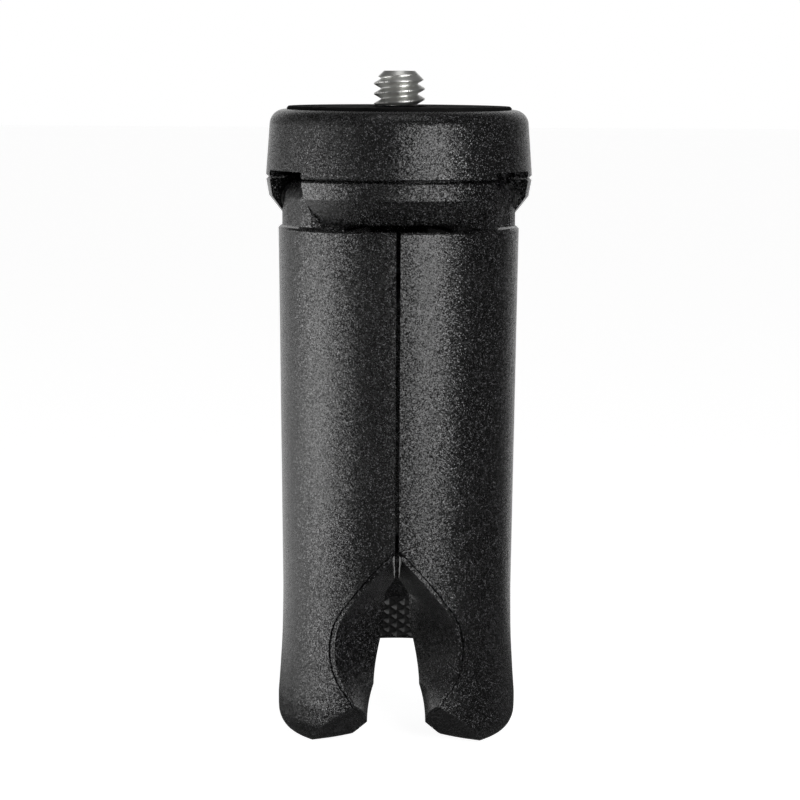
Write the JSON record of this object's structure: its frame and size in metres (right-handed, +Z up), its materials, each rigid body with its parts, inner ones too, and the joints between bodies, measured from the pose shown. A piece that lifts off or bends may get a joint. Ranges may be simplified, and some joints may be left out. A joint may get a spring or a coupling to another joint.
{
  "type": "camera tripod",
  "caption": "Pocket table tripod: round head with a camera screw and a rubber seat, and hinged legs that close into a round handle.",
  "frame": {"origin": "on the head's axis, at the top face of the rubber seat, where the camera rests", "axes": "+Z up along the camera screw, -Y to the front, where the two closed legs meet; the rear leg is on +Y"},
  "size_m": [0.0332, 0.0574, 0.0837],
  "materials": {
    "head_cap": "glass filled nylon, fine spark eroded grain",
    "hub": "glass filled nylon, fine spark eroded grain",
    "leg_cover": "glass filled nylon, fine spark eroded grain",
    "leg_core": "smoother moulded nylon",
    "rubber": "matte black rubber",
    "plated_steel": "bright zinc plated, cut thread",
    "fastener_steel": "plain steel",
    "spring_steel": "rolled spring steel",
    "acetal": "natural acetal"
  },
  "bodies": {
    "head": {"rubber_seat": "rubber", "head_cap": "head_cap", "camera_screw": "plated_steel", "screw_plug": "acetal", "hub_body": "hub", "hub_screws": "fastener_steel", "left_hinge_pin": "fastener_steel", "left_hinge_washers": "fastener_steel", "left_leaf_spring": "spring_steel", "right_hinge_pin": "fastener_steel", "right_hinge_washers": "fastener_steel", "right_leaf_spring": "spring_steel", "rear_hinge_pin": "fastener_steel", "rear_hinge_washers": "fastener_steel", "rear_leaf_spring": "spring_steel"},
    "left_leg": {"left_leg_core": "leg_core", "left_leg_cover": "leg_cover", "left_foot_pad": "rubber", "left_cover_screws": "fastener_steel"},
    "right_leg": {"right_leg_core": "leg_core", "right_leg_cover": "leg_cover", "right_foot_pad": "rubber", "right_cover_screws": "fastener_steel"},
    "rear_leg": {"rear_leg_core": "leg_core", "rear_leg_cover": "leg_cover", "rear_foot_pad": "rubber", "rear_cover_screws": "fastener_steel"}
  },
  "joints": [
    {"name": "left_leg_hinge", "type": "hinge", "parent": "head", "child": "left_leg", "pos_m": [-0.01074, -0.0062, -0.0114], "axis": [-0.5, 0.866, 0], "range_deg": [0, 70]},
    {"name": "right_leg_hinge", "type": "hinge", "parent": "head", "child": "right_leg", "pos_m": [0.01074, -0.0062, -0.0114], "axis": [-0.5, -0.866, 0], "range_deg": [0, 70]},
    {"name": "rear_leg_hinge", "type": "hinge", "parent": "head", "child": "rear_leg", "pos_m": [0, 0.0124, -0.0114], "axis": [1, 0, 0], "range_deg": [-23.3, 46.7]}
  ]
}
